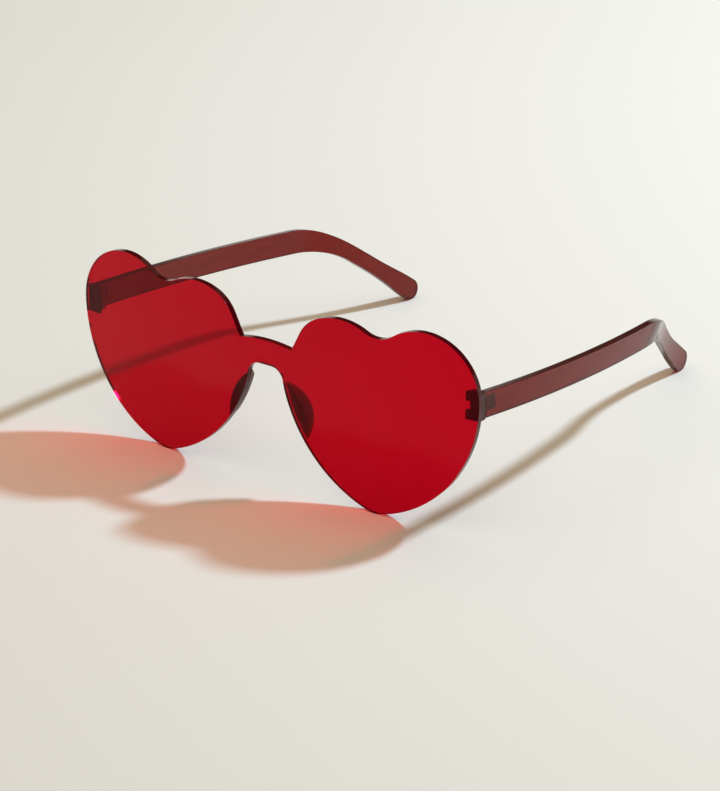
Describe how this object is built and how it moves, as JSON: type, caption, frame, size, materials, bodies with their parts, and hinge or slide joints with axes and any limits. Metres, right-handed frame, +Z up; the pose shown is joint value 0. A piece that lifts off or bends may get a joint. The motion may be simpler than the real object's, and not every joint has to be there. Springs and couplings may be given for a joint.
{
  "type": "sunglasses",
  "caption": "Rimless heart shaped sunglasses: a one-piece curved tinted shield with nose pads, end pieces and folding temples on metal hinges.",
  "frame": {"origin": "middle of the footprint, on the surface that the heart tips and the temple tips rest on, with the temples open", "axes": "+X to the wearer's left, +Y from the shield back to the temple tips, +Z up; the wearer looks along -Y"},
  "size_m": [0.1488, 0.1436, 0.0589],
  "materials": {
    "tinted_shield": "polished clear red tint",
    "frame_plastic": "glossy translucent red-brown",
    "pad_plastic": "glossy translucent dark brown",
    "hinge_metal": "satin",
    "screw_metal": "polished"
  },
  "bodies": {
    "front": {"lens_shield": "tinted_shield", "nose_pad_left": "pad_plastic", "nose_pad_right": "pad_plastic", "endpiece_left": "frame_plastic", "endpiece_right": "frame_plastic", "front_hinge_leaf_left": "hinge_metal", "front_hinge_leaf_right": "hinge_metal", "hinge_screw_left": "screw_metal", "hinge_screw_right": "screw_metal"},
    "left_temple": {"temple_left": "frame_plastic", "temple_hinge_leaf_left": "hinge_metal"},
    "right_temple": {"temple_right": "frame_plastic", "temple_hinge_leaf_right": "hinge_metal"}
  },
  "joints": [
    {"name": "left_temple_fold", "type": "hinge", "parent": "front", "child": "left_temple", "pos_m": [0.06995, -0.06312, 0.0397], "axis": [0, 0, 1], "range_deg": [0, 84]},
    {"name": "right_temple_fold", "type": "hinge", "parent": "front", "child": "right_temple", "pos_m": [-0.06995, -0.06312, 0.0397], "axis": [0, 0, -1], "range_deg": [0, 79.5]}
  ]
}
